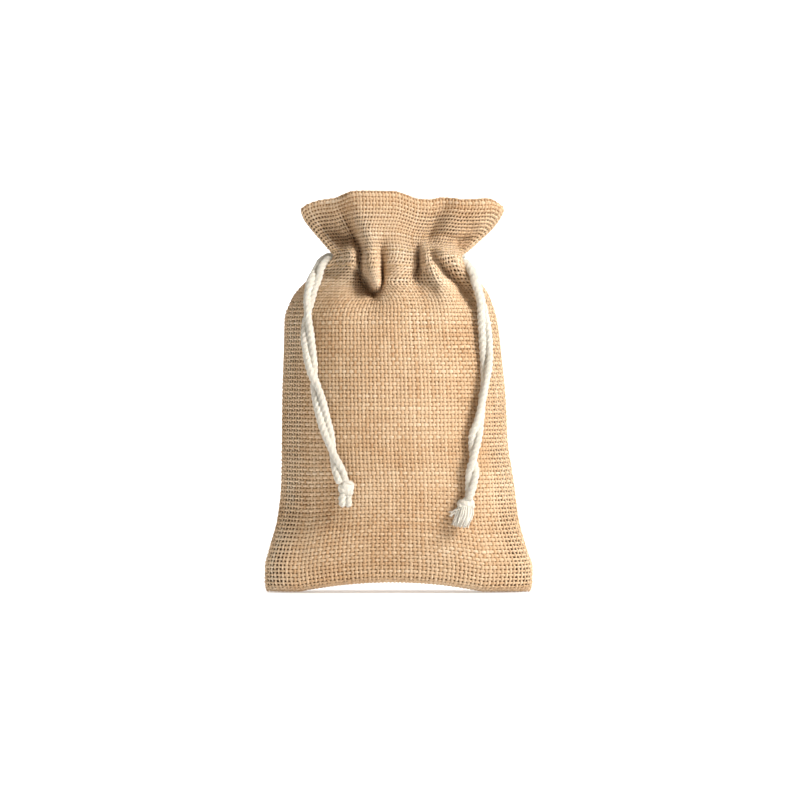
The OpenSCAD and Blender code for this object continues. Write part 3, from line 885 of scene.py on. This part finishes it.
cloth_pieces, shade_sheet_pieces, thread_pieces = [], [], []
for word, side in (("front", -1), ("back", 1)):
    net, shade_sheet, warp, weft = make_cloth(word, side)
    lining = casing_lining(word, side)
    seam = casing_seam(word, side, net)
    for piece in (*lining, seam):
        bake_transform(piece)
    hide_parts(word + "_panel")
    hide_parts(word + "_ruffle")
    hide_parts(word + "_panel")
    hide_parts(word + "_casing")
    cloth_pieces += [warp, weft, lining[1], lining[2]]
    shade_sheet_pieces += [shade_sheet, lining[0]]
    thread_pieces.append(seam)


# ---- materials

def srgb(r, g, b):
    """A colour given as it would look on a screen, 0 to 255, in the renderer's linear values."""
    return tuple(((c / 255 + 0.055) / 1.055) ** 2.4 for c in (r, g, b)) + (1,)


def new_material(name, roughness, sheen):
    """A matt material, its node tree, its shader and the place on the piece."""
    mat = bpy.data.materials.new(name)
    mat.use_nodes = True
    shader = mat.node_tree.nodes["Principled BSDF"]
    shader.inputs["Roughness"].default_value = roughness
    shader.inputs["Sheen Weight"].default_value = sheen
    shader.inputs["Sheen Roughness"].default_value = 0.5
    shader.inputs["Specular IOR Level"].default_value = 0.12
    return mat, mat.node_tree, shader, node(mat.node_tree, "ShaderNodeTexCoord").outputs["Object"]


def node(tree, kind, links=(), **settings):
    """A shader node with settings given by name; links are (input, where it comes from)."""
    made = tree.nodes.new(kind)
    for key, value in settings.items():
        if key in made.inputs:
            made.inputs[key].default_value = value
        else:
            setattr(made, key, value)
    for target, source in links:
        tree.links.new(source, made.inputs[target])
    return made


def scaled_noise(tree, vector, scale, detail, rough):
    place = node(tree, "ShaderNodeMapping", [("Vector", vector)], Scale=scale)
    return node(tree, "ShaderNodeTexNoise", [("Vector", place.outputs["Vector"])], Scale=1.0, Detail=detail,
                Roughness=rough).outputs["Fac"]


def ramp(tree, source, stops):
    made = node(tree, "ShaderNodeValToRGB", [("Fac", source)])
    elements = made.color_ramp.elements
    while len(elements) < len(stops):
        elements.new(0.5)
    for element, (place, colour) in zip(elements, stops):
        element.position = place
        element.color = colour
    return made.outputs["Color"]


def math_node(tree, operation, *values):
    """One operation on numbers or on other nodes' results."""
    made = node(tree, "ShaderNodeMath", operation=operation)
    for i, value in enumerate(values):
        if isinstance(value, (int, float)):
            made.inputs[i].default_value = value
        else:
            tree.links.new(value, made.inputs[i])
    return made.outputs[0]


def swing(tree, source, share):
    """A share of how far a noise lies above or below its middle."""
    return math_node(tree, "MULTIPLY", math_node(tree, "SUBTRACT", source, 0.5), share)


def mix_colour(tree, share, first, second, mode="MIX"):
    made = node(tree, "ShaderNodeMix", data_type="RGBA", blend_type=mode)
    for key, value in ((0, share), (6, first), (7, second)):
        if hasattr(value, "links"):
            tree.links.new(value, made.inputs[key])
        else:
            made.inputs[key].default_value = value
    return made.outputs[2]


def uv_place(tree):
    return node(tree, "ShaderNodeUVMap", uv_map="yarn").outputs["UV"]


def point_value(tree, name):
    return node(tree, "ShaderNodeAttribute", attribute_name=name).outputs["Fac"]


def add_bump(tree, shader, height, distance, strength):
    bump = node(tree, "ShaderNodeBump", [("Height", height)], Strength=strength, Distance=distance)
    tree.links.new(bump.outputs["Normal"], shader.inputs["Normal"])


WHITE = srgb(255, 255, 255)
STREAKS = 0.6  # how strongly the fibres' streaks darken the base colour


def colour_cloth(tree, shader, base, grain, dark, low, high):
    """Gives the shader its base colour, darkened along the fibres of a noise."""
    streak = ramp(tree, grain, [(low, dark), (high, WHITE)])
    tree.links.new(mix_colour(tree, STREAKS, base, streak, "MULTIPLY"), shader.inputs["Base Color"])


def jute_yarn_material():
    """Loose jute yarn: fibres along it, thick and thin places, its own tone with painted highlight and
    shade added, slow change over the cloth.
    """
    mat, tree, shader, place = new_material("jute_yarn", 0.85, 0.04)
    uv = uv_place(tree)
    # The yarn's own tone with painted highlight and painted shade added to it
    tone = point_value(tree, "tone")
    fibre = scaled_noise(tree, uv, (0.35, 9, 1), 4, 0.7)
    slub = scaled_noise(tree, uv, (0.5, 0.6, 1), 2, 0.5)
    patch = scaled_noise(tree, place, (38, 38, 38), 3, 0.55)
    shade = math_node(tree, "MULTIPLY_ADD", tone, 0.08, 0.5)
    shade = math_node(tree, "ADD", shade, swing(tree, slub, 0.35))
    shade = math_node(tree, "ADD", shade, swing(tree, patch, 0.5))
    base = ramp(tree, shade, [(0.0, srgb(160, 106, 56)), (0.38, srgb(206, 170, 131)),
                              (0.62, srgb(226, 198, 164)), (1.0, srgb(250, 236, 213))])
    colour_cloth(tree, shader, base, fibre, srgb(196, 182, 168), 0.3, 0.6)
    add_bump(tree, shader, fibre, 0.0003, 0.8)
    return mat


def shade_sheet_material():
    """What shows between the yarns, a sheet of painted shade: dark where the pouch is empty behind them,
    tan over its filling.
    """
    mat, tree, shader, place = new_material("jute_painted_shade", 1.0, 0.0)
    backed_or_lit = point_value(tree, "backed_or_lit")
    grain = scaled_noise(tree, place, (900, 900, 900), 3, 0.6)
    patch = scaled_noise(tree, place, (60, 60, 60), 3, 0.6)
    share = math_node(tree, "MULTIPLY", backed_or_lit, math_node(tree, "MULTIPLY_ADD", patch, 0.8, 0.5))
    # Dark painted shade of the empty inside, mixed with the tan of the filling
    base = mix_colour(tree, share, srgb(52, 23, 5), srgb(180, 130, 82))
    colour_cloth(tree, shader, base, grain, srgb(190, 175, 160), 0.3, 0.7)
    add_bump(tree, shader, grain, 0.0004, 0.7)
    return mat


def cotton_material():
    """Soft unbleached cotton, with painted shade in the grooves where its plies meet, and fine fibres along
    each ply.
    """
    mat, tree, shader, place = new_material("twisted_cotton", 0.85, 0.5)
    uv = uv_place(tree)
    ply = point_value(tree, "ply")
    fibre = scaled_noise(tree, uv, (0.5, 3.2, 1), 4, 0.65)
    patch = scaled_noise(tree, place, (120, 120, 120), 2, 0.5)
    # Painted shade in the grooves where the plies meet
    edge = math_node(tree, "POWER", math_node(tree, "ABSOLUTE", ply), 4.0)
    base = mix_colour(tree, patch, srgb(224, 218, 204), srgb(238, 233, 221))
    base = mix_colour(tree, math_node(tree, "MULTIPLY", edge, 0.6), base, srgb(160, 147, 124))
    colour_cloth(tree, shader, base, fibre, srgb(196, 189, 176), 0.3, 0.56)
    shader.inputs["Subsurface Weight"].default_value = 0.15
    shader.inputs["Subsurface Radius"].default_value = (0.002, 0.0015, 0.001)
    add_bump(tree, shader, fibre, 0.0006, 0.9)
    return mat


def wave_bands(tree, place, direction, scale, distortion):
    """Soft parallel bands across one direction."""
    return node(tree, "ShaderNodeTexWave", [("Vector", place)], Scale=scale, Distortion=distortion,
                Detail=2.0, bands_direction=direction).outputs["Fac"]


def thread_material():
    """Spun sewing thread in a tan close to the jute."""
    mat, tree, shader, place = new_material("spun_thread", 0.6, 0.3)
    twist = wave_bands(tree, place, "DIAGONAL", 700.0, 2.0)
    base = mix_colour(tree, twist, srgb(196, 158, 108), srgb(226, 196, 150))
    tree.links.new(base, shader.inputs["Base Color"])
    add_bump(tree, shader, twist, 0.0002, 0.6)
    return mat


def flat_cloth_material():
    """Woven jute for the seam allowances inside, where the weave is drawn rather than built."""
    mat, tree, shader, place = new_material("jute_allowance", 0.85, 0.2)
    up = wave_bands(tree, place, "Z", 160.0, 1.5)
    over = wave_bands(tree, place, "X", 160.0, 1.5)
    weave = math_node(tree, "MULTIPLY", up, over)
    grain = scaled_noise(tree, place, (700, 700, 700), 3, 0.6)
    base = ramp(tree, weave, [(0.0, srgb(120, 80, 44)), (0.35, srgb(190, 142, 90)),
                              (1.0, srgb(226, 184, 132))])
    colour_cloth(tree, shader, base, grain, srgb(190, 175, 160), 0.3, 0.7)
    add_bump(tree, shader, weave, 0.0006, 0.8)
    return mat


def paint(things, material):
    for thing in things:
        thing.data.materials.clear()
        thing.data.materials.append(material)


paint(cloth_pieces, jute_yarn_material())
paint(shade_sheet_pieces, shade_sheet_material())
paint(cords, cotton_material())
thread_mat = thread_material()
paint(thread_pieces, thread_mat)
paint([nodes[n] for n in nodes if n.endswith("_seam_allowance")], flat_cloth_material())
paint([nodes[n] for n in nodes if n.endswith(("_seam_overlock", "_opening_bartacks"))], thread_mat)


# ---- stage and light

FLOOR = (-3.0, 2.0)  # from where to where the floor lies flat, in metres
SWEEP_RADIUS, SWEEP_TOP, SWEEP_HALF = 1.5, 6.0, 5.0


def studio_sweep():
    """A white floor that curves up into a backdrop far behind."""
    profile = [(y, 0.0) for y in FLOOR]
    for a in np.linspace(0.1, math.pi / 2, 14):
        profile.append((FLOOR[1] + SWEEP_RADIUS * math.sin(a), SWEEP_RADIUS - SWEEP_RADIUS * math.cos(a)))
    profile.append((FLOOR[1] + SWEEP_RADIUS, SWEEP_TOP))
    points = [(x / MM, y / MM, z / MM) for y, z in profile for x in (-SWEEP_HALF, SWEEP_HALF)]
    faces = [(2 * i, 2 * i + 1, 2 * i + 3, 2 * i + 2) for i in range(len(profile) - 1)]
    sweep = new_piece("studio_sweep", points, faces)
    mat, _, shader, _ = new_material("studio_white", 0.9, 0.0)
    shader.inputs["Base Color"].default_value = (0.8, 0.8, 0.8, 1)
    shader.inputs["Emission Color"].default_value = (1, 1, 1, 1)
    shader.inputs["Emission Strength"].default_value = 0.36
    sweep.data.materials.append(mat)


def area_light(name, place, aim, size, watts, colour=(1, 1, 1)):
    data = bpy.data.lights.new(name, "AREA")
    data.shape = "DISK"
    data.size = size
    data.energy = watts
    data.color = colour
    lamp = bpy.data.objects.new(name, data)
    bpy.context.scene.collection.objects.link(lamp)
    lamp.location = place
    lamp.rotation_euler = (Vector(aim) - Vector(place)).to_track_quat("-Z", "Y").to_euler()


def light_scene():
    world = bpy.data.worlds.new("studio")
    world.use_nodes = True
    sky = world.node_tree.nodes["Background"]
    sky.inputs["Color"].default_value = (1, 0.88, 0.74, 1)
    sky.inputs["Strength"].default_value = 0.14
    bpy.context.scene.world = world
    area_light("key", (1.15, -0.82, 1.0), (0, 0, 0.1), 0.65, 39, (1, 0.985, 0.965))
    area_light("fill", (-1.4, -1.3, 0.5), (0, 0, 0.1), 1.2, 1.5, (1, 0.9, 0.8))
    area_light("backdrop", (0, 1.2, 2.5), (0, 3.2, 0.6), 3.0, 120)
    bpy.context.scene.view_settings.view_transform = "Standard"


studio_sweep()
light_scene()
